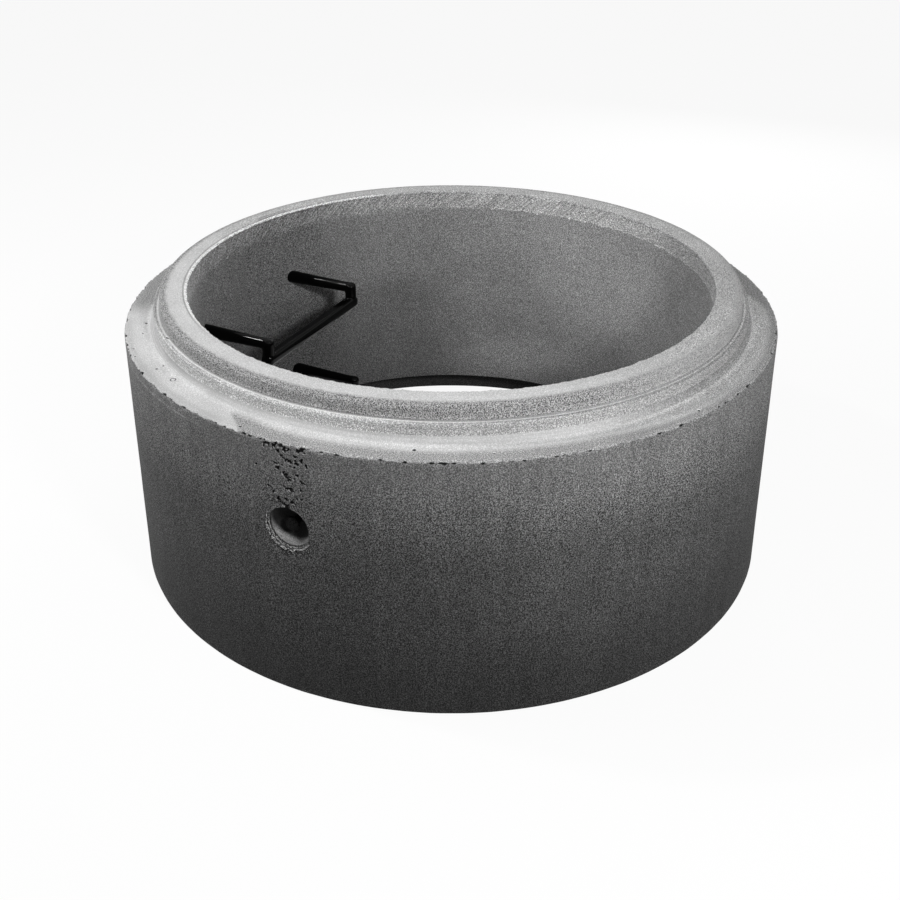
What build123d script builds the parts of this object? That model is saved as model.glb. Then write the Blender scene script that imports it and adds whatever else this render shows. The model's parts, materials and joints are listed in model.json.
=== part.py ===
from build123d import *
import os
from math import cos, radians, sin, sqrt

# A precast concrete manhole ring that stands on its socket end, with the spigot end up.
# Millimetres, +Z up. The origin is on the ring's axis, at the level of the bottom rim.
# The two step irons are one above the other, on the +Y side of the bore.

# The shaft wall
bore_radius = 500.0
wall = 120.0
shoulder_height = 480.0
shoulder_rise = 1.5
outer_edge_chamfer = 3.0
inner_edge_chamfer = 2.5

# The spigot: a lower step that carries the seal, and a narrower nose above it
spigot_height = 60.0
spigot_wall = 65.0
seal_step_height = 34.0
nose_step = 12.5
nose_bevel = 8.0
spigot_root_bevel = 14.0

# The socket at the bottom, which goes over the spigot of the ring below
seal_gap = 7.0
end_gap = 6.0
socket_ceiling_bevel = 8.0

# Lifting points: a ball-headed anchor at the middle of each round pocket
lift_count = 3
lift_azimuth = 181.0
lift_height = 326.0
pocket_radius = 38.0
anchor_head_depth = 11.0
anchor_head_radius = 12.5
anchor_head_dome = 4.0
anchor_head_rim = 4.0
anchor_neck_length = 4.0
anchor_shank_radius = 7.0
anchor_length = 85.0
anchor_foot_radius = 17.5
anchor_foot_thickness = 6.0

# Step irons: coated, with two legs in the wall and a tread that hangs on posts below them
step_levels = {"step_iron_lower": 158.0, "step_iron_upper": 388.0}
step_spacing = 325.0
step_reach = 176.0
step_bar_radius = 12.0
step_bar_sides = 12
step_bend_radius = 15.0
tread_drop = 32.0
tread_depth = 27.0
tread_height = 25.0
tread_corner_round = 6.0
tread_end_round = 9.0
grip_pitch = 20.0
grip_width = 6.0
grip_depth = 1.5
collar_radius = 14.5
collar_taper_length = 36.0
collar_before_wall = 10.0
collar_in_wall = 14.0
leg_shank_radius = 10.5
leg_embedment = 80.0

# Room between a cast-in piece and the concrete round it
cast_gap = 0.3

outer_radius = bore_radius + wall
top_height = shoulder_height + spigot_height
ledge_height = shoulder_height + seal_step_height
spigot_radius = bore_radius + spigot_wall
nose_radius = spigot_radius - nose_step
socket_radius = spigot_radius + seal_gap
socket_depth = spigot_height + end_gap

step_half = step_spacing / 2
tread_y = bore_radius - step_reach
tread_length = step_spacing + tread_depth
leg_wall_y = sqrt(bore_radius**2 - step_half**2)


def export_piece(builder, name):
    builder.part.label = name
    export_step(builder.part, f"parts/{name}.step")
    print(name, round(builder.part.volume), "mm3")


def nearest_corner(x, y):
    """The vertex of the sketch in hand that lies nearest to the point x, y."""
    return vertices().sort_by_distance(Vector(x, y))[0]


def lift_profile_plane(azimuth):
    """A plane through the anchor's axis: local X up the wall, local Y into the concrete."""
    turn = radians(azimuth)
    origin = (outer_radius * cos(turn), outer_radius * sin(turn), lift_height)
    return Plane(origin=origin, x_dir=(0, 0, 1), z_dir=(sin(turn), -cos(turn), 0))


def revolve_anchor(azimuth, gap=0.0, mode=Mode.ADD):
    """The anchor's turned body, or with a gap the hollow that it sits in."""
    plane = lift_profile_plane(azimuth)
    head_top = anchor_head_depth - gap
    dome_end = anchor_head_depth + anchor_head_dome
    rim_end = dome_end + anchor_head_rim
    neck_end = rim_end + anchor_neck_length
    foot_end = anchor_head_depth + anchor_length
    foot_start = foot_end - anchor_foot_thickness
    head = anchor_head_radius + gap
    shank = anchor_shank_radius + gap
    foot = anchor_foot_radius + gap
    with BuildSketch(plane) as profile:
        with BuildLine():
            Polyline(
                (0, head_top),
                (head - anchor_head_dome, head_top),
                (head, dome_end),
                (head, rim_end),
                (shank, neck_end),
                (shank, foot_start - gap),
                (foot, foot_start - gap),
                (foot, foot_end + gap),
                (0, foot_end + gap),
                close=True,
            )
        make_face()
    revolve(profile.sketch, axis=Axis(plane.origin, plane.y_dir), mode=mode)


def bar_section(plane, radius):
    """The many-sided section of the coated bar, with its corners at the given radius."""
    with BuildSketch(plane) as section:
        RegularPolygon(radius, step_bar_sides)
    return section.sketch


def add_leg_end(side, level, gap=0.0, mode=Mode.ADD):
    """The collar and the cast-in end of one leg, or with a gap the hollow round them."""
    taper_start = leg_wall_y - collar_before_wall - collar_taper_length
    collar_start = leg_wall_y - collar_before_wall
    collar_end = leg_wall_y + collar_in_wall + gap
    leg_end = leg_wall_y + leg_embedment + gap

    def section_at(y, radius):
        leg_point = (side * step_half, y, level)
        return bar_section(Plane(origin=leg_point, x_dir=(1, 0, 0), z_dir=(0, 1, 0)), radius + gap)

    loft([section_at(taper_start, step_bar_radius), section_at(collar_start, collar_radius)], mode=mode)
    extrude(section_at(collar_start, collar_radius), amount=collar_end - collar_start, mode=mode)
    extrude(section_at(collar_end, leg_shank_radius), amount=leg_end - collar_end, mode=mode)


os.makedirs("parts", exist_ok=True)
lift_azimuths = [lift_azimuth + index * 360 / lift_count for index in range(lift_count)]

# The ring is one casting: a turned section, three pockets, and the hollows of what is cast in.
with BuildPart() as concrete_ring:
    with BuildSketch(Plane.XZ) as section:
        with BuildLine():
            Polyline(
                (bore_radius, socket_depth),
                (bore_radius, top_height),
                (nose_radius, top_height),
                (nose_radius, ledge_height),
                (spigot_radius, ledge_height),
                (spigot_radius, shoulder_height + shoulder_rise),
                (outer_radius, shoulder_height),
                (outer_radius, 0),
                (socket_radius, 0),
                (socket_radius, socket_depth),
                close=True,
            )
        make_face()
        chamfer(nearest_corner(nose_radius, top_height), nose_bevel)
        chamfer(nearest_corner(spigot_radius, shoulder_height + shoulder_rise), spigot_root_bevel)
        chamfer(nearest_corner(socket_radius, socket_depth), socket_ceiling_bevel)
        for corner in ((outer_radius, shoulder_height), (outer_radius, 0)):
            chamfer(nearest_corner(*corner), outer_edge_chamfer)
        chamfer(nearest_corner(bore_radius, top_height), inner_edge_chamfer)
    revolve(axis=Axis.Z)
    for azimuth in lift_azimuths:
        pocket_centre = lift_profile_plane(azimuth).origin
        with Locations(pocket_centre):
            Sphere(pocket_radius, mode=Mode.SUBTRACT)
        revolve_anchor(azimuth, cast_gap, Mode.SUBTRACT)
    for level in step_levels.values():
        for side in (-1, 1):
            add_leg_end(side, level, cast_gap, Mode.SUBTRACT)
export_piece(concrete_ring, "concrete_ring")

# Each lifting anchor is a forged pin with a ball head in the pocket and a flared foot in the wall.
for index, azimuth in enumerate(lift_azimuths):
    with BuildPart() as lifting_anchor:
        revolve_anchor(azimuth)
    export_piece(lifting_anchor, f"lifting_anchor_{index + 1}")

# Each step iron is one coated piece. Its posts stop the foot from sliding off sideways.
for name, level in step_levels.items():
    tread_z = level - tread_drop
    with BuildPart() as step_iron:
        # The tread runs from post to post, with rounded long edges and rounded ends
        with BuildSketch(Plane.YZ.offset(-tread_length / 2)):
            with Locations((tread_y, tread_z)):
                RectangleRounded(tread_depth, tread_height, tread_corner_round)
        extrude(amount=tread_length)
        with BuildSketch(Plane.XY.offset(tread_z - tread_height / 2)):
            with Locations((0, tread_y)):
                RectangleRounded(tread_length, tread_depth, tread_end_round)
        extrude(amount=tread_height, mode=Mode.INTERSECT)
        # On each side a leg out of the wall, a bend, and a post down into the tread
        for side in (-1, 1):
            with BuildLine() as bar_path:
                FilletPolyline(
                    (side * step_half, leg_wall_y, level),
                    (side * step_half, tread_y, level),
                    (side * step_half, tread_y, tread_z),
                    radius=step_bend_radius,
                )
            bar_start = Plane(origin=bar_path.line @ 0, x_dir=(1, 0, 0), z_dir=bar_path.line % 0)
            sweep(bar_section(bar_start, step_bar_radius), path=bar_path.line)
            add_leg_end(side, level)
        # Grooves across the flat top and bottom of the tread, for grip
        groove_count = int((step_spacing - 2 * step_bar_radius - grip_width) // grip_pitch)
        groove_length = tread_depth - 2 * tread_corner_round
        for face_z in (tread_z - tread_height / 2, tread_z + tread_height / 2):
            with Locations((0, tread_y, face_z)):
                with GridLocations(grip_pitch, 0, groove_count, 1):
                    Box(grip_width, groove_length, 2 * grip_depth, mode=Mode.SUBTRACT)
    export_piece(step_iron, name)
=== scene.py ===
# %% [markdown]
# # A precast concrete manhole ring
#
# The real ring is cast in a steel mould. Its outside and its bore are cast against steel, and
# the joint on top is shaped by a form that is turned and pressed down while the concrete is wet.
# That leaves dark, grainy walls and pale, smooth joint faces with faint turning marks.
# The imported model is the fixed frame, and everything here is made around it, in metres.

# %% The fixed frame
import json
import math

import bmesh
import bpy
import numpy as np
from mathutils import Matrix, Vector, noise


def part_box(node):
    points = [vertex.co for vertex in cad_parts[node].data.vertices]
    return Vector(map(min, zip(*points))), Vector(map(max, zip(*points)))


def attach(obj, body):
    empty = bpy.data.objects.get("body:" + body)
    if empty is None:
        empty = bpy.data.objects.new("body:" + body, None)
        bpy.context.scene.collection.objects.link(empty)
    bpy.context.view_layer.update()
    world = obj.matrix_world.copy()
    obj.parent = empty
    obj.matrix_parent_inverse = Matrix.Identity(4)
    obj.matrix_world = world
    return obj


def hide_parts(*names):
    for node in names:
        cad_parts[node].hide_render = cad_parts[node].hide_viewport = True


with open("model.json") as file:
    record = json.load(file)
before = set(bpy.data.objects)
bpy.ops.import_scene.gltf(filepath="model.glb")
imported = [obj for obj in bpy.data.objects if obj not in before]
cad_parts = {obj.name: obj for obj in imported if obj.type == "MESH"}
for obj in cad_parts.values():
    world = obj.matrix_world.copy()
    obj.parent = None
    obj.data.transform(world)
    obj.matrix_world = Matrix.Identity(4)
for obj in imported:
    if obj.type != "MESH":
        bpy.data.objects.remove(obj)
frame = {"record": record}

scene = bpy.context.scene
for name in ("Cube", "Camera", "Light"):
    if name in bpy.data.objects:
        bpy.data.objects.remove(bpy.data.objects[name])
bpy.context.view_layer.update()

# %% [markdown]
# The sizes come from the frame where it has them: the outside and the height from the ring's
# own box, and the joint from the record's spigot and socket. The rest are the ring's sizes too,
# written here because the frame doesn't name them.

# %% Sizes of the ring
_, ring_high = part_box("concrete_ring")
interfaces = {mount["name"]: mount for mount in frame["record"]["mounts"]}
outer_radius = ring_high.x
top_height = ring_high.z
spigot_radius = interfaces["spigot"]["dims"]["r_mm"] / 1000
socket_radius = interfaces["socket"]["dims"]["r_mm"] / 1000
bore_radius = outer_radius - 0.120
shoulder_height = top_height - 0.060
shoulder_root = shoulder_height + 0.0015
ledge_height = shoulder_height + 0.034
nose_radius = spigot_radius - 0.0125
socket_depth = 0.066
band_height = 0.040
print("radii", bore_radius, nose_radius, spigot_radius, socket_radius, outer_radius)

# %% [markdown]
# ## The camera
#
# It is placed first. It looks down at the ring from the side of the first lifting pocket, and
# the step irons are behind the near rim.

# %% Camera
camera_azimuth = math.radians(-154.3)
camera_distance = 2.1968
camera_height = 1.4125
camera_pitch = math.radians(24.409)
picture_size = 900
focal_pixels = 1223.44
optical_centre = (451.17, 330.0)

toward_camera = Vector((math.cos(camera_azimuth), math.sin(camera_azimuth), 0))
camera_right = Vector((-toward_camera.y, toward_camera.x, 0))
camera_data = bpy.data.cameras.new("Camera")
camera = bpy.data.objects.new("Camera", camera_data)
scene.collection.objects.link(camera)
camera.location = toward_camera * camera_distance + Vector((0, 0, camera_height))
gaze = -toward_camera * math.cos(camera_pitch) - Vector((0, 0, math.sin(camera_pitch)))
camera.rotation_mode = "QUATERNION"
camera.rotation_quaternion = gaze.to_track_quat("-Z", "Y")
camera_data.sensor_width = 36
camera_data.lens = focal_pixels / picture_size * camera_data.sensor_width
camera_data.shift_x = 0.5 - optical_centre[0] / picture_size
camera_data.shift_y = optical_centre[1] / picture_size - 0.5
scene.camera = camera
print("camera at", tuple(round(x, 3) for x in camera.location), "lens", round(camera_data.lens, 2))


# %% [markdown]
# ## Tools for edit mode
#
# An operator works on whatever is selected, so each step first chooses its vertices or faces by
# place. These helpers do the choosing: one for small meshes, through bmesh, and one for large
# meshes, through arrays of numbers. A new primitive is selected, and nothing else, by itself.

# %% Helpers for object mode and edit mode
def pick(piece, *others):
    """Selects these pieces and nothing else, and makes the first one active."""
    bpy.ops.object.select_all(action="DESELECT")
    for chosen in (piece, *others):
        chosen.select_set(True)
    bpy.context.view_layer.objects.active = piece


def edit(piece, mode="VERT"):
    pick(piece)
    bpy.ops.object.mode_set(mode="EDIT")
    bpy.ops.mesh.select_mode(type=mode)


def stop_editing():
    bpy.ops.object.mode_set(mode="OBJECT")


def choose_faces(piece, test):
    """Selects the faces whose middle and normal pass the test."""
    mesh = bmesh.from_edit_mesh(piece.data)
    for face in mesh.faces:
        face.select_set(test(face.calc_center_median(), face.normal))
    bmesh.update_edit_mesh(piece.data)


def choose_edges(piece, test):
    """Selects the edges of a large mesh: test gets arrays of both ends and returns a mask."""
    stop_editing()
    points = vertex_places(piece)
    ends = np.empty(len(piece.data.edges) * 2, int)
    piece.data.edges.foreach_get("vertices", ends)
    first, second = points[ends[0::2]], points[ends[1::2]]
    chosen = test(first, second)
    piece.data.polygons.foreach_set("select", np.zeros(len(piece.data.polygons), bool))
    touched = np.zeros(len(points), bool)
    touched[ends.reshape(-1, 2)[chosen]] = True
    piece.data.vertices.foreach_set("select", touched)
    piece.data.edges.foreach_set("select", chosen)
    bpy.context.tool_settings.mesh_select_mode = (False, True, False)
    bpy.ops.object.mode_set(mode="EDIT")
    return int(chosen.sum())


def vertex_places(piece):
    places = np.empty(len(piece.data.vertices) * 3)
    piece.data.vertices.foreach_get("co", places)
    return places.reshape(-1, 3)


def apply_modifiers(piece):
    pick(piece)
    for modifier in list(piece.modifiers):
        bpy.ops.object.modifier_apply(modifier=modifier.name)


def settle(piece):
    """Leaves the object at the origin, unturned and unscaled, with its place in its mesh."""
    pick(piece)
    bpy.ops.object.transform_apply(location=True, rotation=True, scale=True)


def on_circle(radius, turn, height):
    """The point at this distance from the ring's axis, turned by this angle, at this height."""
    return (radius * math.cos(turn), radius * math.sin(turn), height)


# %% [markdown]
# ## The casting
#
# Half of the ring's section is drawn as a chain of points and then spun round the axis, as a
# potter or a lathe would do it. Each corner of the section has its own rounding: the nose of the
# spigot is soft, the root of the spigot is a wide hollow, and the shoulder's edge is nearly sharp.

# %% The section
# Each row: the corner, its rounding, the steps in the rounding, the parts of the run after it
section_corners = [
    ((bore_radius, socket_depth), 0.002, 2, 8),
    ((bore_radius, top_height - band_height), 0, 0, 7),
    ((bore_radius, top_height), 0.003, 4, 1),
    ((bore_radius + 0.0045, top_height), 0, 0, 1),
    ((bore_radius + 0.0058, top_height - 0.0007), 0, 0, 1),
    ((bore_radius + 0.0072, top_height), 0, 0, 5),
    ((nose_radius, top_height), 0.009, 6, 4),
    ((nose_radius, ledge_height), 0.001, 2, 3),
    ((spigot_radius, ledge_height), 0.0025, 3, 4),
    ((spigot_radius, shoulder_root), 0.015, 7, 8),
    ((outer_radius - 0.010, shoulder_height + 0.0003), 0, 0, 3),
    ((outer_radius, shoulder_height), 0.003, 4, 4),
    ((outer_radius, shoulder_height - 0.012), 0, 0, 12),
    ((outer_radius, 0), 0.003, 3, 3),
    ((socket_radius, 0), 0.002, 2, 3),
    ((socket_radius, socket_depth), 0.008, 3, 3),
]


def rounded_chain(rows):
    """Points along the closed section, with arcs in its corners and even steps on its runs."""
    arcs = []
    for index, (corner, rounding, steps, _) in enumerate(rows):
        here = Vector(corner)
        if not steps:
            arcs.append([here])
            continue
        back = (Vector(rows[index - 1][0]) - here).normalized()
        ahead = (Vector(rows[(index + 1) % len(rows)][0]) - here).normalized()
        half_angle = back.angle(ahead) / 2
        centre = here + (back + ahead).normalized() * rounding / math.sin(half_angle)
        reach = rounding / math.tan(half_angle)
        start, end = here + back * reach - centre, here + ahead * reach - centre
        arcs.append([centre + start.slerp(end, step / steps) * rounding for step in range(steps + 1)])
    chain = []
    for index, row in enumerate(rows):
        chain += arcs[index]
        run_start, run_end = arcs[index][-1], arcs[(index + 1) % len(rows)][0]
        chain += [run_start.lerp(run_end, part / row[3]) for part in range(1, row[3])]
    return chain


section_chain = rounded_chain(section_corners)
print("section of", len(section_chain), "points")

# %% Drawing and spinning the section
turn_steps = 552


def draw_chain(name, chain):
    """Draws points (x, z) one after the other by extruding a single vertex."""
    bpy.ops.mesh.primitive_plane_add(size=0.001, location=(chain[0][0], 0, chain[0][1]))
    piece = bpy.context.object
    piece.name = name
    edit(piece)
    bpy.ops.mesh.select_all(action="SELECT")
    bpy.ops.mesh.merge(type="CENTER")
    for start, end in zip(chain, chain[1:]):
        step = (end[0] - start[0], 0, end[1] - start[1])
        bpy.ops.mesh.extrude_region_move(TRANSFORM_OT_translate={"value": step})
    return piece


def spin_round(steps, axis):
    """Spins the drawn chain once round the axis and closes the seam, with the faces outwards."""
    bpy.ops.mesh.select_all(action="SELECT")
    bpy.ops.mesh.spin(steps=steps, angle=2 * math.pi, center=(0, 0, 0), axis=axis)
    bpy.ops.mesh.select_all(action="SELECT")
    bpy.ops.mesh.remove_doubles(threshold=1e-5)
    bpy.ops.mesh.normals_make_consistent(inside=False)
    stop_editing()


casting = draw_chain("ring_casting", section_chain + section_chain[:1])
bpy.ops.mesh.select_all(action="SELECT")
bpy.ops.mesh.remove_doubles(threshold=1e-6)
spin_round(turn_steps, (0, 0, 1))
settle(casting)
print("casting", len(casting.data.polygons), "faces")

# %% [markdown]
# The edges crumble in the photograph, and the wall above the lifting pocket is full of pits, so
# the mesh is made finer there and nowhere else. Long quads on the wall are first cut across and
# then along, until they are about 1 mm, which is enough for pits of 3 mm.

# %% Where the lifting pockets are: each one's middle on the wall, and its turn
lift_points = []
for name, mount in interfaces.items():
    if name.startswith("lifting_head"):
        head = Vector(mount["pos_m"])
        turn = math.atan2(head.y, head.x)
        lift_points.append((on_circle(outer_radius, turn, head.z), turn))
pocket_place, pocket_azimuth = lift_points[0]
pocket_height = pocket_place[2]
pocket_radius = 0.038
print("pockets at", [round(math.degrees(turn)) for _, turn in lift_points], "degrees")

# %% Where the mesh has to be finer
pitted_left, pitted_right = -0.064, 0.056
pitted_bottom, pitted_top = 0.23, shoulder_height - 0.004
mark_place = Vector((-0.5156, 0.2743, shoulder_height + 0.0011))
mark_radius = 0.0046
mark_groove_width = 0.0013
# Each row: degrees from the pocket to the right seen from outside, radius and size in metres
shoulder_pits = [
    (-54.2, 0.5796, 0.0026), (-49.9, 0.5867, 0.0020), (-38.8, 0.5560, 0.0022), (-34.4, 0.5914, 0.0024),
    (-34.9, 0.5777, 0.0020), (-8.5, 0.6060, 0.0022), (19.2, 0.5845, 0.0029), (66.0, 0.6050, 0.0024),
    (-44.0, 0.6080, 0.0018), (-41.0, 0.6120, 0.0022), (31.0, 0.5950, 0.0016), (84.0, 0.6040, 0.0020),
]
rim_reach, mark_reach, pit_reach = 0.0065, 0.018, 0.0095


def radius_of(points):
    return np.hypot(points[:, 0], points[:, 1])


def along_wall(points):
    """Distance along the outer wall from the pocket's middle, to the right seen from outside."""
    turn = np.arctan2(points[:, 1], points[:, 0]) - pocket_azimuth
    turn = (turn + math.pi) % (2 * math.pi) - math.pi
    return turn * outer_radius


def in_pitted_patch(points):
    beside = along_wall(points)
    within = (beside > pitted_left) & (beside < pitted_right)
    within &= (points[:, 2] > pitted_bottom) & (points[:, 2] < pitted_top)
    return within & (np.abs(radius_of(points) - outer_radius) < 0.0005)


def near_rim(points, rim_radius, rim_height):
    return np.hypot(radius_of(points) - rim_radius, points[:, 2] - rim_height) < rim_reach


def near_mark(points):
    return np.linalg.norm(points - np.array(mark_place), axis=1) < mark_reach


def near_shoulder_pit(points):
    near = np.zeros(len(points), bool)
    for degrees, pit_at, _ in shoulder_pits:
        centre = on_circle(pit_at, pocket_azimuth + math.radians(degrees), shoulder_height + 0.001)
        near |= np.linalg.norm(points - centre, axis=1) < pit_reach
    return near


def runs_level(first, second):
    along_circle = np.abs(radius_of(first) - radius_of(second)) < 1e-4
    return along_circle & (np.abs(first[:, 2] - second[:, 2]) < 1e-5)


def longer_than(length, first, second):
    return np.linalg.norm(first - second, axis=1) > length


def refine(title, cuts, inside, runs=None):
    """Cuts the edges with both ends inside, or only those of them that run the given way."""
    def test(first, second):
        within = inside(first) & inside(second)
        return within & runs(first, second) if runs else within

    found = choose_edges(casting, test)
    bpy.ops.mesh.subdivide(number_cuts=cuts)
    print(title, "on", found, "edges")


# %% A finer mesh at the rims, at the mark and above the lifting pocket
edit(casting)
refine("shoulder's edge", 2, lambda points: near_rim(points, outer_radius, shoulder_height), runs_level)
refine("rim of the bore", 1, lambda points: near_rim(points, bore_radius, top_height), runs_level)
refine("mark", 6, near_mark)
refine("shoulder pits", 3, near_shoulder_pit)
refine("pitted patch, upright", 36, in_pitted_patch,
       lambda first, second: ~runs_level(first, second) & longer_than(0.02, first, second))
refine("pitted patch, level", 5, in_pitted_patch,
       lambda first, second: runs_level(first, second) & longer_than(0.004, first, second))
stop_editing()
print("casting", len(casting.data.polygons), "faces")

# %% [markdown]
# ## Wear and flaws of the casting
#
# A flaw is made by pressing the surface in: each vertex gets a weight by its place, and a
# Displace modifier pushes it inwards by that share of a depth. Nothing is ever pushed out, so
# the ring stays inside its real size.

# %% Pressing in by weight
rng = np.random.default_rng(17)
least_weight = 0.004


def press_in(piece, name, depth, weights):
    group = piece.vertex_groups.new(name=name)
    for index in np.flatnonzero(weights > least_weight):
        group.add([int(index)], float(min(weights[index], 1)), "REPLACE")
    modifier = piece.modifiers.new(name, "DISPLACE")
    modifier.strength = -depth
    modifier.mid_level = 0
    modifier.vertex_group = name
    apply_modifiers(piece)
    piece.vertex_groups.remove(piece.vertex_groups[name])
    print(name, "on", int((weights > least_weight).sum()), "vertices, up to", depth * 1000, "mm")


def smooth_noise(points, size, seed):
    """Soft noise from -1 to 1 at each point, with blotches of about the given size."""
    shift = Vector((seed * 7.1, seed * 3.3, seed * 5.7))
    return np.array([noise.noise(Vector(point) / size + shift) for point in points])


# %% Unevenness all over, and more of it at the rims
rim_width = 0.006
places = vertex_places(casting)
uneven = 0.5 + 0.35 * smooth_noise(places, 0.09, 1) + 0.25 * smooth_noise(places, 0.028, 2)
press_in(casting, "uneven_cast_faces", 0.0009, np.clip(uneven, 0, 1))

places = vertex_places(casting)
radius = radius_of(places)
shoulder_edge = np.hypot(radius - outer_radius, places[:, 2] - shoulder_height)
inner_rim = np.hypot(radius - bore_radius, places[:, 2] - top_height)
rim_noise = 0.5 + 0.7 * smooth_noise(places, 0.0045, 3) + 0.5 * smooth_noise(places, 0.014, 4)
at_rims = np.clip(1 - np.minimum(shoulder_edge, inner_rim) / rim_width, 0, 1)
press_in(casting, "ragged_rims", 0.0036, np.clip(rim_noise, 0, 1) * at_rims)

# %% Chips along the shoulder's edge
chip_count = 420
smallest_chip, deep_chip, largest_chip = 0.0018, 0.0035, 0.0060
places = vertex_places(casting)
chip_weights = np.zeros(len(places))
for _ in range(chip_count):
    turn = rng.uniform(-math.pi, math.pi)
    centre = on_circle(outer_radius, turn, shoulder_height - rng.uniform(0, 0.002))
    size = smallest_chip + (largest_chip - smallest_chip) * rng.random() ** 3
    distance = np.linalg.norm((places - centre) * (1, 1, rng.uniform(0.7, 1.5)), axis=1)
    chip = np.clip(1.3 - distance / size, 0, 1) * min(1, size / deep_chip)
    chip_weights = np.maximum(chip_weights, chip)
press_in(casting, "edge_chips", 0.0040, chip_weights)

# %% [markdown]
# The pits above the pocket are air and cement holes left where the lifting former stopped the
# concrete from packing. They come in clusters down to the pocket, so each cluster has its own
# place and spread, and chains of overlapping pits are scattered in it from one seeded source.

# %% Pits above the lifting pocket
# Each row, in millimetres: along the wall, height and spread, and how crowded the cluster is
pit_clusters = [
    (-35, 473, 3, 3), (-28, 472, 3, 3), (-18, 472, 4, 5), (-11, 466, 4, 5), (-5, 472, 4, 4),
    (3, 469, 4, 5), (9, 471, 3, 4), (31, 475, 5, 6), (24, 470, 4, 3), (-6, 457, 3, 2),
    (18, 461, 3, 2), (29, 455, 3, 2), (5, 452, 3, 4), (11, 451, 3, 4), (20, 450, 3, 4),
    (-17, 441, 3, 4), (-13, 434, 3, 3), (39, 448, 3, 3), (0, 424, 3, 3), (6, 418, 3, 3),
    (22, 428, 4, 3), (27, 418, 3, 2), (34, 416, 3, 2), (2, 399, 3, 4), (9, 398, 3, 5),
    (26, 401, 3, 2), (-24, 386, 3, 2), (-17, 378, 3, 3), (20, 385, 4, 3), (-10, 371, 3, 4),
    (-3, 379, 3, 2), (8, 375, 4, 3), (0, 425, 30, 14),
]
# The notch where the pits run into the pocket's rim. Each row: along the wall, height, size, depth
wall_pits = [(0, 365, 3.0, 1), (-2, 369, 1.8, 1), (-4, 371, 1.5, 1), (2, 368, 1.8, 1), (4, 370, 1.5, 1)]
pit_step, chains_per_crowd = 1.6, 1.6
widest_pit, lowest_pit, wall_skin = 66, 350, 12
for cluster_beside, cluster_height, spread, crowd in pit_clusters:
    for index in range(round(chains_per_crowd * crowd)):
        x = cluster_beside + rng.normal(0, 0.7) * spread * min(index, 1)
        z = cluster_height + rng.normal(0, 0.6) * spread * min(index, 1)
        heading = rng.uniform(-0.9, 0.5)
        depth = rng.uniform(0.6, 1.0)
        for _ in range(rng.integers(1, 4)):
            wall_pits.append((x, z, rng.uniform(1.0, 1.6), depth))
            x, z = x + pit_step * math.cos(heading), z + pit_step * math.sin(heading)
            heading += rng.normal(0, 0.9)


def wall_pit_pattern(points, softness):
    """How deep in a pit each point is, from 0 to 1. Only the wall's face near the pits counts."""
    beside, above = along_wall(points) * 1000, points[:, 2] * 1000
    near = (np.abs(beside) < widest_pit) & (above > lowest_pit) & (above < shoulder_height * 1000 - 1)
    near = np.flatnonzero(near & (radius_of(points) > outer_radius - wall_skin / 1000))
    beside, above = beside[near], above[near]
    pattern = np.zeros(len(points))
    for x, z, size, depth in wall_pits:
        hollow = np.clip(softness - np.hypot(beside - x, above - z) / size, 0, 1) * depth
        pattern[near] = np.maximum(pattern[near], hollow)
    return pattern


press_in(casting, "pits_above_pocket", 0.0060, wall_pit_pattern(vertex_places(casting), 1.5))

# %% Small pits on the shoulder, and the ring-shaped mark
def shoulder_pit_pattern(points, softness):
    """How deep in a pit of the shoulder, or in the groove of the mark, each point is."""
    pattern = np.zeros(len(points))
    for degrees, pit_at, size in shoulder_pits:
        pit_x, pit_y, _ = on_circle(pit_at, pocket_azimuth + math.radians(degrees), 0)
        away = np.hypot(points[:, 0] - pit_x, points[:, 1] - pit_y)
        pattern = np.maximum(pattern, np.clip(softness - away / size, 0, 1))
    from_mark = np.hypot(points[:, 0] - mark_place.x, points[:, 1] - mark_place.y)
    groove = np.exp(-((from_mark - mark_radius) / mark_groove_width) ** 2) * (from_mark < 0.012)
    return np.maximum(pattern, 0.3 * groove) * (points[:, 2] > shoulder_height - 0.006)


press_in(casting, "shoulder_pits", 0.0036, shoulder_pit_pattern(vertex_places(casting), 1.4))

# %% [markdown]
# ## The lifting pockets
#
# A rubber half ball holds each anchor while the ring is cast, and leaves a round pocket. Three
# balls joined into one cutter take the pockets out with a single Boolean.

# %% Cutting the pockets
pocket_cutters = []
for place, turn in lift_points:
    bpy.ops.mesh.primitive_uv_sphere_add(
        segments=64, ring_count=32, radius=pocket_radius, location=place, rotation=(0, math.pi / 2, turn)
    )
    pocket_cutters.append(bpy.context.object)
pick(*pocket_cutters)
bpy.ops.object.join()
cutter = bpy.context.object
cut = casting.modifiers.new("pockets", "BOOLEAN")
cut.object = cutter
cut.operation = "DIFFERENCE"
cut.solver = "EXACT"
apply_modifiers(casting)
bpy.data.objects.remove(cutter)
print("with pockets", len(casting.data.polygons), "faces")

# %% [markdown]
# Wet cement squeezed out under the former's edge left a crumbly lip on the pocket's lower rim.
# The wall round it is pressed in a little, and the lip is what stays at the wall's full size.

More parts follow.
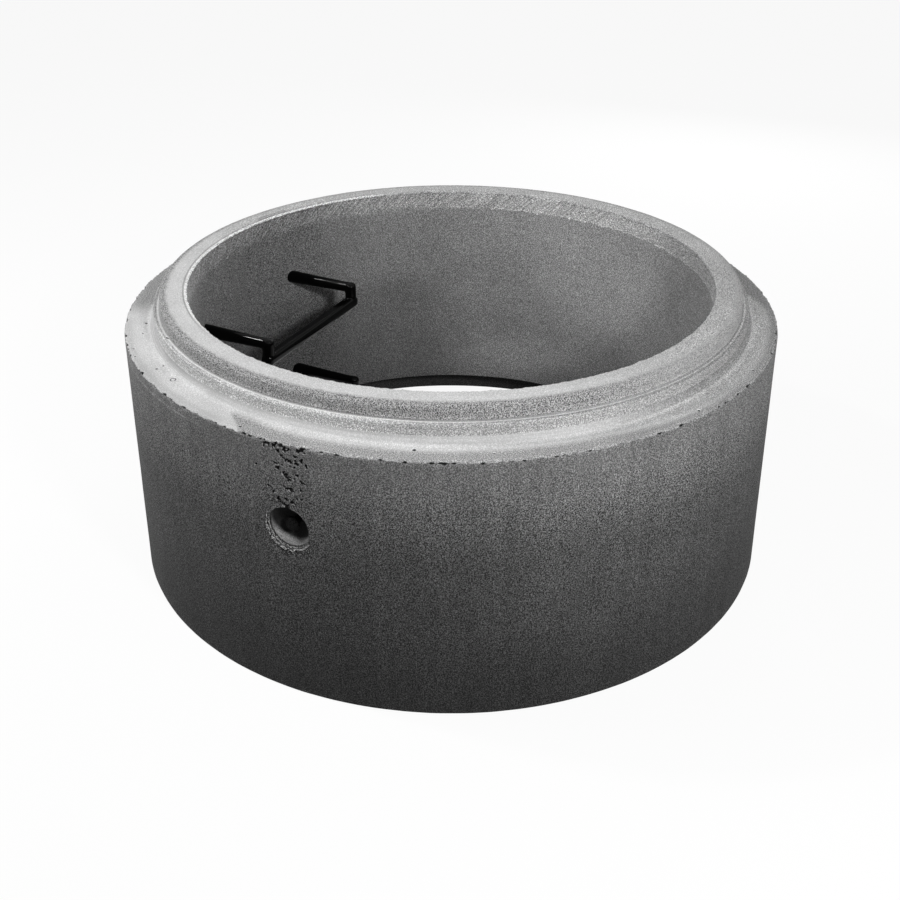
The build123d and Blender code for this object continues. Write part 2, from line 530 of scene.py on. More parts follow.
# %% The crumbly lip under the pocket
lip_distance, lip_wander, lip_width = 0.0046, 0.0026, 0.0022
patch_distance, patch_width = 0.0095, 0.006
fade_start, fade_length = 0.006, 0.022
places = vertex_places(casting)
beside, above = along_wall(places), places[:, 2] - pocket_height
distance = np.hypot(beside, above)
downward = np.clip((-above - 0.55 * beside) / np.maximum(distance, 1e-6) + 0.30, 0, 1) ** 0.5
past_rim = distance - pocket_radius
crumbs = smooth_noise(places, 0.0042, 7) + 0.8 * smooth_noise(places, 0.0022, 8)
lip_middle = lip_distance + lip_wander * smooth_noise(places, 0.010, 9)
lip = np.exp(-((past_rim - lip_middle) / lip_width) ** 2) * np.clip(0.65 + 1.5 * crumbs, 0, 1)
below = np.clip(-above / np.maximum(distance, 1e-6), 0, 1) ** 2
crumb_patch = np.exp(-((past_rim - patch_distance) / patch_width) ** 2) * below
lip = np.maximum(lip, crumb_patch * np.clip(crumbs * 2.4, 0, 1))
fade = 0.5 + 0.5 * np.cos(math.pi * np.clip((past_rim - fade_start) / fade_length, 0, 1))
lowered = downward * fade * (past_rim > -0.003) * (1 - lip)
press_in(casting, "wall_round_lip", 0.0042, lowered * (radius_of(places) > outer_radius - 0.008))

# %% What the material has to know: how deep in a pit each vertex is
places = vertex_places(casting)
pit_depth = np.maximum(wall_pit_pattern(places, 1.5), shoulder_pit_pattern(places, 1.4))
pit_layer = casting.data.attributes.new("pit_depth", "FLOAT", "POINT")
pit_layer.data.foreach_set("value", pit_depth.astype(np.float32))
print("pits on", int((pit_depth > 0.3).sum()), "vertices")

pick(casting)
bpy.ops.object.shade_smooth_by_angle(angle=math.radians(38))
print("casting", len(casting.data.polygons), "faces,",
      sum(len(face.vertices) - 2 for face in casting.data.polygons), "triangles")

# %% [markdown]
# ## The step irons
#
# A step iron is a steel bar moulded into black plastic. Two round legs come out of the wall,
# thin a little towards the front and end in posts, and the tread hangs between the posts. Each
# leg is a cylinder whose front face is extruded and resized in steps, and each post is a short
# upright cylinder with its top edge bevelled, because the real corner is square and not bent.

# %% Sizes of a step iron
half_spacing = 0.1625
leg_root_radius = 0.0138
leg_front_radius = 0.0110
post_radius = 0.0122
tread_size = Vector((0.352, 0.026, 0.022))
post_top_drop = 0.0008
post_in_tread = 0.006
wall_overlap = 0.020
plain_root = 0.006
collar_radius = 0.0145
# Each row: a stretch of the leg towards the front, and its share of the thinning
leg_stretches = ((0.012, 0.06), (0.030, 0.30), (0.045, 0.34), (0.030, 0.20))
end_round, edge_round = 0.009, 0.0075
iron_boxes = {name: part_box(name) for name in ("step_iron_lower", "step_iron_upper")}


# %% One leg, from inside the wall to the post
def make_leg(side, leg_z, tread_y):
    wall_y = math.sqrt(bore_radius**2 - half_spacing**2)
    start_y, first_y = wall_y + wall_overlap, wall_y - plain_root
    bpy.ops.mesh.primitive_cylinder_add(
        vertices=40, radius=leg_root_radius, depth=start_y - first_y,
        location=(side * half_spacing, (start_y + first_y) / 2, leg_z), rotation=(math.pi / 2, 0, 0),
    )
    leg = bpy.context.object
    settle(leg)
    edit(leg, "FACE")
    choose_faces(leg, lambda middle, normal: normal.y < -0.9)
    thinning = leg_front_radius / leg_root_radius
    for length, share in leg_stretches:
        bpy.ops.mesh.extrude_region_move(TRANSFORM_OT_translate={"value": (0, -length, 0)})
        smaller = thinning**share
        bpy.ops.transform.resize(value=(smaller, 1, smaller))
    rest = first_y - tread_y - sum(length for length, _ in leg_stretches)
    bpy.ops.mesh.extrude_region_move(TRANSFORM_OT_translate={"value": (0, -rest, 0)})
    stop_editing()
    return leg


# %% One post, from the tread up to the top of the leg
def make_post(side, leg_z, tread_y, tread_z):
    top, bottom = leg_z + leg_front_radius - post_top_drop, tread_z - post_in_tread
    bpy.ops.mesh.primitive_cylinder_add(
        vertices=40, radius=post_radius, depth=top - bottom,
        location=(side * half_spacing, tread_y, (top + bottom) / 2),
    )
    post = bpy.context.object
    settle(post)
    edit(post, "FACE")
    choose_faces(post, lambda middle, normal: normal.z > 0.9)
    bpy.ops.mesh.region_to_loop()
    bpy.ops.mesh.bevel(offset=edge_round, segments=5, affect="EDGES")
    stop_editing()
    return post


# %% One tread, a bar with rounded edges
def make_tread(tread_y, tread_z):
    bpy.ops.mesh.primitive_cube_add(size=1, location=(0, tread_y, tread_z), scale=tread_size)
    tread = bpy.context.object
    settle(tread)
    edit(tread, "EDGE")
    mesh = bmesh.from_edit_mesh(tread.data)
    for edge in mesh.edges:
        edge.select_set(abs(edge.verts[0].co.z - edge.verts[1].co.z) > 0.5 * tread_size.z)
    bmesh.update_edit_mesh(tread.data)
    bpy.ops.mesh.bevel(offset=end_round, segments=5, affect="EDGES")
    choose_faces(tread, lambda middle, normal: abs(normal.z) > 0.9)
    bpy.ops.mesh.select_mode(type="FACE")
    bpy.ops.mesh.region_to_loop()
    bpy.ops.mesh.bevel(offset=edge_round, segments=5, affect="EDGES")
    stop_editing()
    return tread


# %% [markdown]
# Moulded plastic has no seam between leg, post and tread. The five solids are remeshed into one
# skin with small voxels and relaxed, which leaves a soft hollow where they meet.

# %% Joining, fusing and relaxing
voxel_size = 0.0014


def fuse(parts, name):
    pick(*parts)
    bpy.ops.object.join()
    whole = bpy.context.object
    whole.name = name
    remesh = whole.modifiers.new("one_skin", "REMESH")
    remesh.mode = "VOXEL"
    remesh.voxel_size = voxel_size
    relax = whole.modifiers.new("relax", "SMOOTH")
    relax.factor = 0.5
    relax.iterations = 8
    apply_modifiers(whole)
    return whole


# %% [markdown]
# The tread is dotted with small pips that stop a boot from slipping. One pip is modelled, and
# its copies are set in rows along the top of the tread and joined to the iron.

# %% Grip pips
pip_rows = (-0.0098, -0.0062, 0.0062, 0.0098)
pip_pitch = 0.0062
pip_radius = 0.0015
pip_flatness = 0.55
post_clearance = 0.002


def add_pips(iron, tread_y, tread_top):
    bpy.ops.mesh.primitive_ico_sphere_add(
        subdivisions=1, radius=pip_radius, location=(0, 0, 0), scale=(1, 1, pip_flatness)
    )
    pip = bpy.context.object
    settle(pip)
    bpy.ops.object.shade_smooth()
    reach = half_spacing - post_radius - post_clearance
    count = int(2 * reach / pip_pitch)
    pips = []
    for row, row_y in enumerate(pip_rows):
        for index in range(count + 1):
            x = -reach + (index + 0.5 * (row % 2)) * pip_pitch
            if x > reach:
                continue
            copy = pip.copy()
            copy.data = pip.data.copy()
            copy.data.transform(Matrix.Translation((x, tread_y + row_y, tread_top)))
            scene.collection.objects.link(copy)
            pips.append(copy)
    bpy.data.objects.remove(pip)
    pick(iron, *pips)
    bpy.ops.object.join()
    return len(pips)


# %% Both step irons
irons = {}
for node, (low, high) in iron_boxes.items():
    leg_z = high.z - collar_radius
    tread_y = low.y + tread_size.y / 2
    tread_z = low.z + tread_size.z / 2
    parts = [make_tread(tread_y, tread_z)]
    for side in (-1, 1):
        parts += [make_leg(side, leg_z, tread_y), make_post(side, leg_z, tread_y, tread_z)]
    iron = fuse(parts, node + "_coated")
    bpy.ops.object.shade_smooth()
    pip_total = add_pips(iron, tread_y, tread_z + tread_size.z / 2)
    irons[node] = iron
    print(iron.name, len(iron.data.polygons), "faces,", pip_total, "pips")

# %% [markdown]
# ## The lifting anchors
#
# Each is a forged pin with a domed head that a lifting clutch grips. Its half section is drawn
# and spun like the ring's, about its own axis, which points out of the wall.

# %% The anchors
# Each row: depth below the wall's face and radius, then the rounding, its steps, and parts
anchor_corners = [
    ((0.0110, 0.0), 0, 0, 1),
    ((0.0110, 0.0095), 0.006, 5, 1),
    ((0.0150, 0.0125), 0.003, 3, 1),
    ((0.0190, 0.0125), 0.002, 3, 1),
    ((0.0230, 0.0070), 0.003, 3, 1),
    ((0.0900, 0.0070), 0, 0, 1),
    ((0.0900, 0.0175), 0.001, 2, 1),
    ((0.0960, 0.0175), 0.001, 2, 1),
    ((0.0960, 0.0), 0, 0, 1),
]
anchor_turn_steps = 48
anchors = []
for index, (place, turn) in enumerate(lift_points):
    chain = rounded_chain(anchor_corners)
    anchor = draw_chain(f"lifting_anchor_{index + 1}_forged", [(-p.x, p.y) for p in chain])
    spin_round(anchor_turn_steps, (1, 0, 0))
    settle(anchor)
    anchor.location = place
    anchor.rotation_euler = (0, 0, turn)
    settle(anchor)
    bpy.ops.object.shade_smooth_by_angle(angle=math.radians(40))
    anchors.append(anchor)
    print(anchor.name, len(anchor.data.polygons), "faces")

# %% [markdown]
# ## Materials
#
# A shader is a chain of nodes. What a node puts out is wrapped here in a Value, and each plus,
# minus or times between values adds a Math node, so that a material below reads like a recipe.
# A mask is a value from 0 to 1 that says where on the piece something is.


# %% A node's output to calculate with
class Value:
    """What a node puts out. Calculating with it adds nodes to the same tree."""

    def __init__(self, socket):
        self.socket = socket

    def __add__(self, other):
        return calculate("ADD", self, other)

    def __sub__(self, other):
        return calculate("SUBTRACT", self, other)

    def __rsub__(self, other):
        return calculate("SUBTRACT", other, self)

    def __mul__(self, other):
        return calculate("MULTIPLY", self, other)

    def __abs__(self):
        return calculate("ABSOLUTE", self)

    __radd__, __rmul__ = __add__, __mul__


def link(source, socket):
    """Feeds a socket from a value, or sets it to a plain number or colour."""
    if isinstance(source, Value):
        socket.id_data.links.new(source.socket, socket)
    else:
        socket.default_value = source


def add_node(kind, inputs, **settings):
    """Adds a node to the tree that its inputs come from, and gives back the values it puts out."""
    tree = next(source.socket.id_data for source in inputs.values() if isinstance(source, Value))
    node = tree.nodes.new("ShaderNode" + kind)
    for setting, choice in settings.items():
        setattr(node, setting, choice)
    for title, source in inputs.items():
        link(source, node.inputs[title])
    return [Value(output) for output in node.outputs]


def calculate(operation, first, second=0.0):
    return add_node("Math", {0: first, 1: second}, operation=operation)[0]


# %% Helpers for tones and masks
def larger(first, second):
    return calculate("MAXIMUM", first, second)


def mix(share, first, second):
    return add_node("Mix", {0: share, 2: first, 3: second}, data_type="FLOAT")[0]


def ramp(value, low, high, first=0.0, last=1.0):
    """A smooth change from the first number to the last while the value goes from low to high."""
    inputs = dict(enumerate((value, low, high, first, last)))
    return add_node("MapRange", inputs, interpolation_type="SMOOTHSTEP")[0]


def between(value, start, full, full_end, end):
    """A mask that is 1 from full to full_end and 0 before the start and past the end."""
    return ramp(value, start, full) * ramp(value, end, full_end)


def shade(tone, *changes):
    """Multiplies a tone where a mask is 1. Each change is a mask and its factor."""
    for mask, factor in changes:
        tone = tone * mix(mask, 1.0, factor)
    return tone


def stretched(vector, factors):
    return add_node("VectorMath", {0: vector, 1: factors}, operation="MULTIPLY")[0]


def distance_from(vector, point):
    return add_node("VectorMath", {0: vector, 1: point}, operation="DISTANCE")[1]


def turned(vector, angle):
    """Turns a vector round the ring's axis."""
    return add_node("VectorRotate", {"Vector": vector, "Angle": angle}, rotation_type="Z_AXIS")[0]


def noise_value(vector, scale, detail, roughness, w=None):
    inputs = {"Vector": vector, "Scale": scale, "Detail": detail, "Roughness": roughness}
    if w is None:
        return add_node("TexNoise", inputs)[0]
    return add_node("TexNoise", {**inputs, "W": w}, noise_dimensions="4D")[0]


# %% [markdown]
# ### Shared effects
#
# "Place on ring" tells where a point is: its distance from the axis, its height, and its turn in
# degrees from the first lifting pocket. "Speckle" is the fine sand grain that every cast face
# shows. "Turning marks" are streaks that run round the ring: noise that changes fast across the
# section and slowly along the circle. "Trowel strokes" lean: the point is twisted round the axis
# by its height before the noise reads it, so that the strokes climb the wall without a seam.

# %% Making and placing a node group
def new_group(name, numbers, results):
    """A group that takes a position and numbers: its tree, what goes in and what comes out."""
    tree = bpy.data.node_groups.new(name, "ShaderNodeTree")
    tree.interface.new_socket("Position", in_out="INPUT", socket_type="NodeSocketVector")
    for title, number in numbers.items():
        socket = tree.interface.new_socket(title, in_out="INPUT", socket_type="NodeSocketFloat")
        socket.default_value = number
    for title in results:
        tree.interface.new_socket(title, in_out="OUTPUT", socket_type="NodeSocketFloat")
    starts = tree.nodes.new("NodeGroupInput").outputs[:1 + len(numbers)]
    return tree, [Value(output) for output in starts], tree.nodes.new("NodeGroupOutput").inputs


def use_group(group, **inputs):
    return add_node("Group", inputs, node_tree=group)


# %% Where a point is on the ring
place_group, (place,), ends = new_group("Place on ring", {}, ("Radius", "Height", "Turn"))
x, y, z = add_node("SeparateXYZ", {"Vector": turned(place, -pocket_azimuth)})
link(calculate("SQRT", x * x + y * y), ends["Radius"])
link(z, ends["Height"])
link(calculate("DEGREES", calculate("ARCTAN2", y, x)), ends["Turn"])

# %% Sand grain
speckle_group, (place, scale, strength), ends = new_group(
    "Speckle", {"Scale": 500.0, "Strength": 0.5}, ("Brightness", "Grain")
)
sand = noise_value(place, scale, 2.0, 0.75)
link(larger(1.0 + (sand - 0.5) * 4.0 * strength, 0.10), ends["Brightness"])
link(sand, ends["Grain"])

# %% Turning marks and trowel strokes
marks_group, (place, radius, fineness), ends = new_group(
    "Turning marks", {"Radius": 0.5, "Fineness": 260.0}, ("Streak",)
)
along_and_up = stretched(place, (2.2, 2.2, 260.0))
link(noise_value(along_and_up, 1.0, 3.0, 0.6, w=radius * fineness), ends["Streak"])

stroke_group, (place, lean), ends = new_group("Trowel strokes", {"Lean": 2.0}, ("Stroke",))
height = add_node("SeparateXYZ", {"Vector": place})[2]
twisted = turned(place, height * lean)
link(noise_value(stretched(twisted, (1.0, 1.0, 0.12)), 210.0, 3.0, 0.6), ends["Stroke"])
print("shader groups", [group.name for group in bpy.data.node_groups])

# %% [markdown]
# ### Concrete
#
# One material covers the casting. It finds each face by radius and height: walls cast against
# steel are dark, the bore is a little lighter and has a rubbed band under its rim, the joint
# faces are pale, and the steep face of the nose is coarse. Whatever lies below the wall's face,
# such as a pit or the inside of a pocket, gets its own tone, mostly painted shade. Many tones
# are painted light and shade too: parts of the ring lighter or darker by their side, and dark
# lines in corners and grooves. Every mask over the turn either ends before the back of the ring
# or agrees there, because +180 degrees meets -180 and a seam would show.

# %% Beginning and finishing a material
def begin_material(name):
    """A new material, its shader, and the position that its patterns read."""
    material = bpy.data.materials.new(name)
    material.use_nodes = True
    nodes = material.node_tree.nodes
    return material, nodes["Principled BSDF"], Value(nodes.new("ShaderNodeTexCoord").outputs["Object"])


def grey(tone):
    """A grey colour from a value or from a plain number."""
    if isinstance(tone, Value):
        return add_node("CombineColor", {"Red": tone, "Green": tone, "Blue": tone})[0]
    return (tone, tone, tone, 1)


def set_surface(surface, tone, roughness, gloss):
    link(grey(tone), surface.inputs["Base Color"])
    link(roughness, surface.inputs["Roughness"])
    link(gloss, surface.inputs["Specular IOR Level"])


def add_relief(surface, relief, strength, distance):
    bump = add_node("Bump", {"Strength": strength, "Distance": distance, "Height": relief})[0]
    link(bump, surface.inputs["Normal"])


# %% The concrete, and the shared effects in it
concrete, surface, position = begin_material("cast_concrete")
radius, height, turn = use_group(place_group, Position=position)
fine_tone, fine_grain = use_group(speckle_group, Position=position, Scale=500.0, Strength=3.4)
coarse_tone, coarse_grain = use_group(speckle_group, Position=position, Scale=540.0, Strength=2.0)
streaks = use_group(marks_group, Position=position, Radius=radius, Fineness=420.0)[0]
steep_strokes = use_group(stroke_group, Position=position, Lean=2.2)[0]
flat_strokes = use_group(stroke_group, Position=position, Lean=12.0)[0]
strokes = mix(between(turn, 100, 120, 150, 172), steep_strokes, flat_strokes)
blotches = noise_value(position, 11.0, 5.0, 0.6)
ragged = noise_value(position, 60.0, 4.0, 0.7) - 0.5
print("shared effects in", len(concrete.node_tree.nodes), "nodes")

# %% How far a point is from the ring's own edges
from_bore, from_nose, from_spigot, from_outside = (
    radius - edge for edge in (bore_radius, nose_radius, spigot_radius, outer_radius)
)
above_pocket, above_shoulder, above_root, above_ledge, above_top = (
    height - level for level in (pocket_height, shoulder_height, shoulder_root, ledge_height, top_height)
)

# %% Which face of the ring a point is on
worn = ragged * 0.007
is_joint = ramp(above_shoulder + worn, -0.0032, -0.0020)
is_bore = ramp(from_bore, 0.0030, 0.0015)
is_socket = ramp(radius, socket_radius + 0.0015, socket_radius + 0.0005)
is_socket = is_socket * ramp(height, socket_depth + 0.002, socket_depth + 0.001)
is_inside = larger(is_bore, is_socket)
is_outside = (1.0 - is_joint) * (1.0 - is_inside)
is_steep = ramp(from_nose + worn, -0.0195, -0.0080) * ramp(above_ledge, 0.0002, 0.0016)
is_fillet = between(above_root, 0.0002, 0.0030, 0.012, 0.016)
is_low_face = ramp(from_spigot, -0.0078, -0.0062) * ramp(above_root, 0.010, 0.014)
is_low_face = is_low_face * ramp(above_ledge, 0.002, 0.001)

# %% Tones of the outer wall
# Painted shade: the wall is darker towards the bottom.
wall_low = ramp(height, 0.0, 0.30, 0.031, 0.076)
wall_tone = ramp(height, 0.27, shoulder_height, wall_low, 0.190)
runs_down = noise_value(stretched(position, (45.0, 45.0, 3.0)), 1.0, 3.0, 0.6)
wall_tone = wall_tone * ramp(runs_down, 0.30, 0.70, 0.90, 1.10)
pitted_strip = ramp(abs(turn) + ragged * 3.0, 6.5, 1.5) * ramp(above_pocket, 0.02, 0.05)
at_far_left = between(turn, -64, -52, -22, -11)
# Painted highlight: a lighter line along a small ledge below the shoulder's edge, at the far left. Painted
# light: a lighter band between that line and the edge.
line_height = above_shoulder + ragged * 0.006
ledge_line_highlight = at_far_left * between(line_height, -0.0215, -0.0200, -0.0185, -0.0170)
far_left_light = at_far_left * ramp(line_height, -0.0280, -0.0180)
# Painted shade and light: the wall is darker round the pocket, and lighter to its right and far left.
pocket_side = between(turn, -110, -60, 28, 50)
right_low = between(turn, 70, 86, 130, 160) * ramp(height, 0.30, 0.15)
wall_tone = wall_tone * mix(pocket_side, 0.95, 0.79)
wall_tone = shade(wall_tone, (pitted_strip, 0.93), (ledge_line_highlight, 1.35), (far_left_light, 1.18), (right_low, 0.80))

# %% Tones of the bore: the rubbed band, its bright ragged border and the painted shadow line under the rim
above_band = height + ragged * 0.020 - (top_height - band_height)
at_left = between(turn, -168, -140, -20, 0)
band_blur = mix(at_left, 0.0012, 0.0130)
band = ramp(above_band, band_blur * -1.0, band_blur)
band_border = band * (1.0 - at_left) * ramp(above_band, 0.0050, 0.0020)
# Painted shadow: a dark line under the rim's lip.
shadow_under_rim = between(above_band - band_height, -0.0078, -0.0062, -0.0052, -0.0040)
band_tone = ramp(strokes, 0.34, 0.66, 0.72, 1.30) * 0.40
band_tone = shade(band_tone, (band_border, 1.22), (shadow_under_rim, 0.70))
inner_tone = mix(band, ramp(height, 0.05, 0.32, 0.185, 0.275), band_tone)
# Painted shade: the bore is darker beside and under the irons and at its left end, and it is darker at its
# right end. Painted light: the bore is lighter low at the back.
beside_irons = between(turn, -142, -114, -80, -52)
shade_under_irons = between(turn, -162, -142, -80, -52) * ramp(height, 0.36, 0.29)
left_end = between(turn, -128, -110, -60, -40)
right_end = between(turn, 60, 100, 134, 150)
low_back_light = ramp(abs(turn), 150, 165) * ramp(height, 0.22, 0.12)
inner_tone = shade(inner_tone, (beside_irons, 0.70), (shade_under_irons, 0.72), (left_end, 0.80),
                   (right_end, 0.76), (low_back_light, 1.4))
# Painted shade: the socket recess is nearly black.
in_socket = ramp(height, socket_depth + 0.001, socket_depth - 0.001)
inner_tone = mix(in_socket, inner_tone, 0.030)

# %% Tones of the joint faces: shoulder, fillet, low face and top land
at_right = between(turn, 45, 66, 130, 165)
left_part = between(turn, -100, -66, -30, -8)
far_part = larger(ramp(turn, 40, 85), ramp(turn, -75, -100))
streak_tone = ramp(streaks, 0.34, 0.64)
streaked = mix(streak_tone, mix(left_part, 0.88, 0.70), 1.0)
low_face_tone = mix(between(turn, -52, -38, 8, 20), 0.415, 0.56)
joint_tone = mix(is_fillet, mix(streak_tone, 0.570, 0.605), streaked * 0.55)
joint_tone = mix(is_low_face, joint_tone, low_face_tone * streaked)
# Painted light and shade: the top land is lighter or darker by its turn, as the light falls round the ring.
on_top = ramp(from_nose, -0.004, -0.007) * ramp(above_top, -0.006, -0.004)
top_painted_light = ramp(turn, 25, 60, 1.0, 0.88) * ramp(turn, 80, 107, 1.0, 0.88)
top_painted_light = top_painted_light * ramp(turn, 112, 135, 1.0, 1.16) * ramp(turn, -70, -90, 1.0, 0.898)
# Painted shade: the joint faces are darker away from the front and at the right, the fillet most.
joint_tone = shade(joint_tone, (far_part, mix(is_fillet, 0.88, 0.80)), (at_right * is_fillet, 0.64),
                   (at_right, 0.94), (on_top, top_painted_light))

# %% Tones of the joint faces: the coarse steep face, the ledge's painted highlight and painted shade in its corner
steep_tone = shade(mix(far_part, 0.300, 0.345), (at_right, 1.08))
steep_tone = steep_tone * ramp(above_ledge, 0.010, 0.002, 1.0, 1.16)
joint_tone = mix(is_steep, joint_tone, steep_tone)
# Painted highlight: the ledge is lighter, most at the front.
on_ledge = ramp(from_nose, 0.0012, 0.0030) * ramp(from_spigot, -0.0062, -0.0078)
ledge_highlight = mix(between(turn, 5, 22, 40, 60), 1.14, 1.36)
# Painted shade: a dark line in the corner at the foot of the steep face.
corner_shade = between(from_nose, -0.002, -0.001, 0.0010, 0.0030)
corner_shade = corner_shade * between(above_ledge, -0.002, -0.001, 0.0012, 0.0024)
joint_tone = shade(joint_tone, (on_ledge, ledge_highlight), (corner_shade, 0.55))

# %% The outer part of the shoulder is dull, from a slanting edge left of the pocket onwards
far_side = larger(ramp(turn, -58, -66), ramp(turn, 108, 124))
slanting_turn = turn - ramp(radius, 0.576, outer_radius, 0.0, 4.5)
dull_border = ramp(turn, -13.5, 2.0, 0.577, spigot_radius + 0.0215)
dull_border = mix(ramp(turn, 45, 66), dull_border, 0.603)
dull_border = mix(far_side, dull_border, spigot_radius)
dull = ramp(radius + ragged * 0.010 - dull_border, -0.007, 0.013)
dull = dull * larger(far_side, ramp(slanting_turn, -13.2, -12.0))
left_border = between(turn, -66, -50, -14, -11) * ramp(radius, 0.596, 0.612)

# %% The darker groove of the ring-shaped mark, a worn patch beside the bore, and the lip of the bore's rim
mark_groove = between(distance_from(position, mark_place) - mark_radius, -0.0014, -0.0004, 0.0008, 0.0020)
patch = between(turn + ragged * 1.5, -110.5, -110.0, -102.0, -100.0) * ramp(radius, 0.5225, 0.5195)
fine_crumb = noise_value(position, 260.0, 2.0, 0.6) - 0.5
lip_side = between(turn, -140, -130, -45, -26)
# Painted highlight: the lip along the bore's rim is near white. Painted shade: a dark groove just outside
# it.
lip = ramp(from_bore + fine_crumb * 0.011, 0.0068, 0.0054) * ramp(above_top, -0.0046, -0.0030) * lip_side
lip_groove_shade = between(from_bore, 0.0062, 0.0070, 0.0086, 0.0102) * ramp(above_top, -0.002, -0.001) * lip_side
joint_tone = shade(joint_tone, (dull, 0.56), (left_border, 0.82), (mark_groove, 0.22), (patch, 0.70),
                   (lip_groove_shade, 0.60))

# %% All faces together
tone = mix(is_joint, wall_tone, joint_tone)
tone = mix(is_inside, tone, inner_tone)
# The lip's near-white tone is a painted highlight on the rim's rounded edge.
tone = mix(lip, tone, ramp(fine_crumb, -0.16, 0.02, 0.50, 0.94))

# %% Hollows, chips and pits: painted shade in them, and painted highlights on the pits' rims
attribute = concrete.node_tree.nodes.new("ShaderNodeAttribute")
attribute.attribute_name = "pit_depth"
pit_depth = Value(attribute.outputs["Fac"])
# Painted shade: pits are nearly black and chips are darker. Painted highlight: the rims of the pits are
# lighter.
pit = ramp(pit_depth, 0.22, 0.42)
pit_rim_highlight = between(pit_depth, 0.01, 0.08, 0.20, 0.30)
hollow = is_outside * ramp(from_outside, -0.0022, -0.0036)
chipped = hollow * ramp(above_shoulder, -0.014, -0.008)
from_rim = distance_from(position, pocket_place) - pocket_radius
# Inside the first pocket the cement is lighter and smooth, and it is lighter still towards the bottom as
# painted light.
in_bowl = hollow * ramp(from_rim, 0.003, 0.001)
bowl_cement_and_light = ramp(above_pocket, 0.004, -0.032, 1.2, 4.3)
# Painted shadow: the pocket is nearly black past a slanting depth, where its rim shades it.
deep = hollow * ramp(from_outside - (above_pocket + 0.022) * 0.32, -0.0150, -0.0235)
tone = shade(tone, (pit, 0.04), (pit_rim_highlight, 1.30), (chipped, 0.45), (in_bowl, bowl_cement_and_light), (deep, 0.06))

# %% The crumbly lip: two grooves of painted shade with a pale ridge between them, and spilt cement below
crumb = noise_value(position, 330.0, 2.0, 0.6)
past_rim = from_rim + (crumb - 0.5) * 0.0030
lower_side = ramp(above_pocket + turn * 0.006, 0.006, -0.022)
pocket_groove_shade = larger(between(past_rim, 0.0002, 0.0007, 0.0019, 0.0024),
                     between(past_rim, 0.0056, 0.0062, 0.0074, 0.0080)) * lower_side
rim_ridge = between(past_rim, 0.0022, 0.0028, 0.0054, 0.0060) * lower_side
spill = between(past_rim, 0.0074, 0.0080, 0.0120, 0.0170) * ramp(above_pocket, -0.026, -0.036)
tone = shade(tone, (pocket_groove_shade, 0.16), (rim_ridge, 3.4), (spill, ramp(crumb, 0.42, 0.58, 0.35, 2.1)))

# %% How much grain each face shows
joint_grain = mix(far_part, mix(is_fillet, 0.16, 0.11), 0.50)
inner_grain = larger(mix(band, 0.56, 0.66), beside_irons * 0.80)
grain_share = mix(is_inside, mix(is_joint, 1.0, joint_grain), inner_grain)
grain_share = larger(larger(grain_share, is_steep), larger(is_low_face, dull) * 0.46)
high_grain = ramp(height, 0.36, 0.47, 1.0, 0.55)
grain_share = shade(grain_share, (is_outside, high_grain), (is_steep * at_right, 0.55), (in_bowl, 0.25))
grain_tone = mix(grain_share, 1.0, mix(is_steep, fine_tone, coarse_tone))

# %% The finished concrete
tone = tone * grain_tone * ramp(blotches, 0.3, 0.7, 0.93, 1.07)
set_surface(surface, tone, ramp(grain_tone, 0.6, 1.4, 0.95, 0.82), 0.25)
relief = fine_grain * 0.5 + coarse_grain * is_steep
relief = relief + streaks * is_fillet * 0.3 + strokes * band * is_inside * 0.8
add_relief(surface, relief, 0.6, 0.0012)
print("concrete with", len(concrete.node_tree.nodes), "nodes")

# %% [markdown]
# ### Black coating and forged steel
#
# The coating is smooth moulded plastic, so almost all of its look is gloss: a near-black colour,
# low roughness and a faint orange peel. The anchor's steel is dark and dull, and its scratches
# are thin pale lines where the grain crosses its middle value.

# %% The coating
coating, surface, position = begin_material("black_coating")
peel = use_group(speckle_group, Position=position, Scale=140.0)[1]
set_surface(surface, 0.0015, ramp(peel, 0.35, 0.75, 0.07, 0.13), 0.07)
add_relief(surface, peel, 0.15, 0.0003)

# %% The anchor's steel
steel, surface, position = begin_material("forged_steel")
steel_grain = use_group(speckle_group, Position=position, Scale=420.0)[1]
scratches = ramp(abs(steel_grain - 0.5), 0.035, 0.010, 0.0008, 0.030)
set_surface(surface, scratches, ramp(steel_grain, 0.3, 0.7, 0.90, 0.65), 0.08)
surface.inputs["Metallic"].default_value = 0.5
add_relief(surface, steel_grain, 0.5, 0.0006)

# %% Giving each piece its material and its place in the frame
def finish_piece(piece, material, body, node):
    piece.data.materials.clear()
    piece.data.materials.append(material)
    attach(piece, body)
    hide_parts(node)


finish_piece(casting, concrete, "root", "concrete_ring")
for node, iron in irons.items():
    finish_piece(iron, coating, "root", node)
for index, anchor in enumerate(anchors):
    finish_piece(anchor, steel, "root", f"lifting_anchor_{index + 1}")

# %% [markdown]
# ## Floor, light and background
#
# The background is white because the floor and the world answer camera rays with white, and not
# because there is more light. The floor mixes a share of plain white paint into that, so that a
# soft shadow still shows where the ring stands.

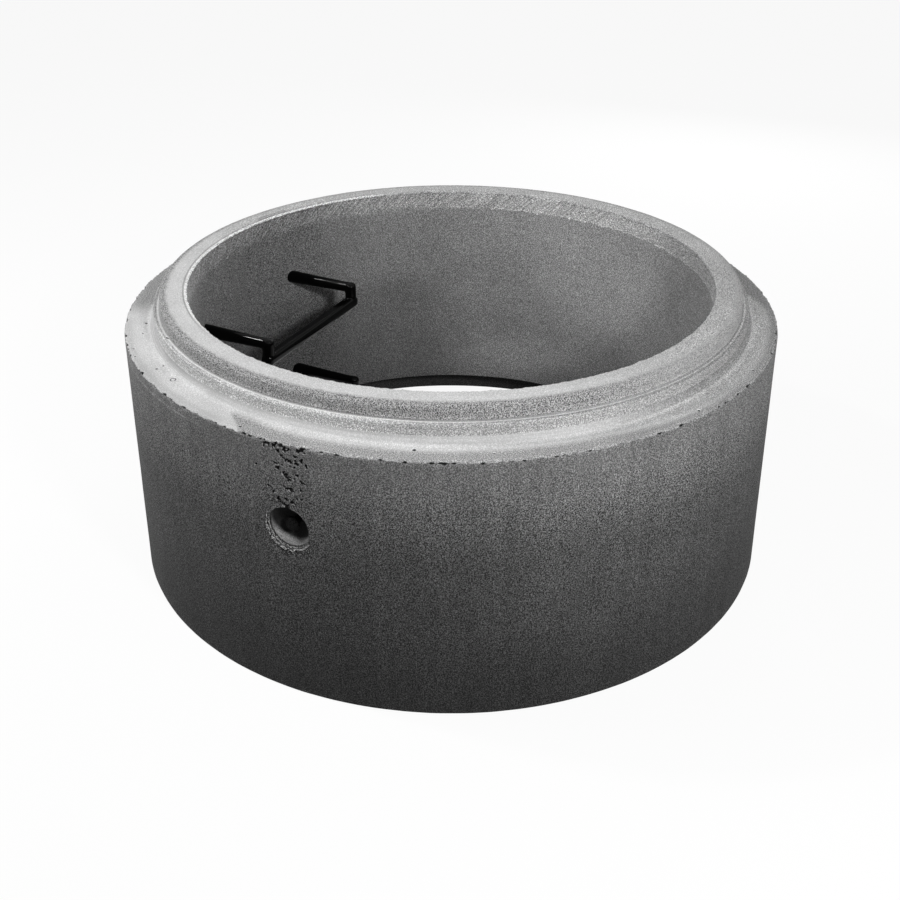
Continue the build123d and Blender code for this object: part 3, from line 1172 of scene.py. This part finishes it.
# %% Floor
def seen_directly(tree):
    """A mask that is 1 for the camera's rays, also after a reflection or through glass."""
    rays = tree.nodes.new("ShaderNodeLightPath").outputs
    camera_ray, glossy_ray, transmission_ray = (
        Value(rays[f"Is {kind} Ray"]) for kind in ("Camera", "Glossy", "Transmission")
    )
    return larger(larger(camera_ray, glossy_ray), transmission_ray)


bpy.ops.mesh.primitive_plane_add(size=24, location=(0, 0, 0))
floor = bpy.context.object
floor.name = "floor"
floor_material = bpy.data.materials.new("pale_floor")
floor_material.use_nodes = True
floor_nodes = floor_material.node_tree.nodes
floor_nodes.remove(floor_nodes["Principled BSDF"])
seen = seen_directly(floor_material.node_tree)
shadow_share = 0.07
paint = add_node("BsdfDiffuse", {"Color": grey(mix(seen, 0.25, 0.85))})[0]
white_shine = Value(floor_nodes.new("ShaderNodeEmission").outputs[0])
answer = add_node("MixShader", {0: seen * (1 - shadow_share), 1: paint, 2: white_shine})[0]
link(answer, floor_nodes["Material Output"].inputs["Surface"])
floor.data.materials.append(floor_material)

# %% World
world = bpy.data.worlds.new("studio")
scene.world = world
world.use_nodes = True
ambient_strength = 0.08
seen = seen_directly(world.node_tree)
backdrop = world.node_tree.nodes["Background"]
backdrop.inputs["Color"].default_value = (1, 1, 1, 1)
link(ramp(seen, 0.0, 1.0, ambient_strength, 1.0), backdrop.inputs["Strength"])


# %% Lamps
def softbox(name, right, front, up, size, power):
    """A square lamp placed as seen from the camera's side, turned to the ring's middle."""
    data = bpy.data.lights.new(name, "AREA")
    data.shape = "SQUARE"
    data.size = size
    data.energy = power
    lamp = bpy.data.objects.new(name, data)
    scene.collection.objects.link(lamp)
    lamp.location = camera_right * right + toward_camera * front + Vector((0, 0, up))
    target = Vector((0, 0, top_height / 2))
    lamp.rotation_mode = "QUATERNION"
    lamp.rotation_quaternion = (target - lamp.location).to_track_quat("-Z", "Y")


softbox("key_right", 0.88, 2.11, 1.71, 0.30, 40)
softbox("left", -3.1, 0.0, 1.7, 1.0, 46)
softbox("high_left", -2.0, -0.1, 2.75, 0.20, 34)
softbox("low_right", 3.05, 1.76, 1.0, 0.8, 18)
softbox("back", 1.2, -2.9, 1.3, 1.2, 34)

# %% Colour handling
scene.view_settings.view_transform = "Standard"
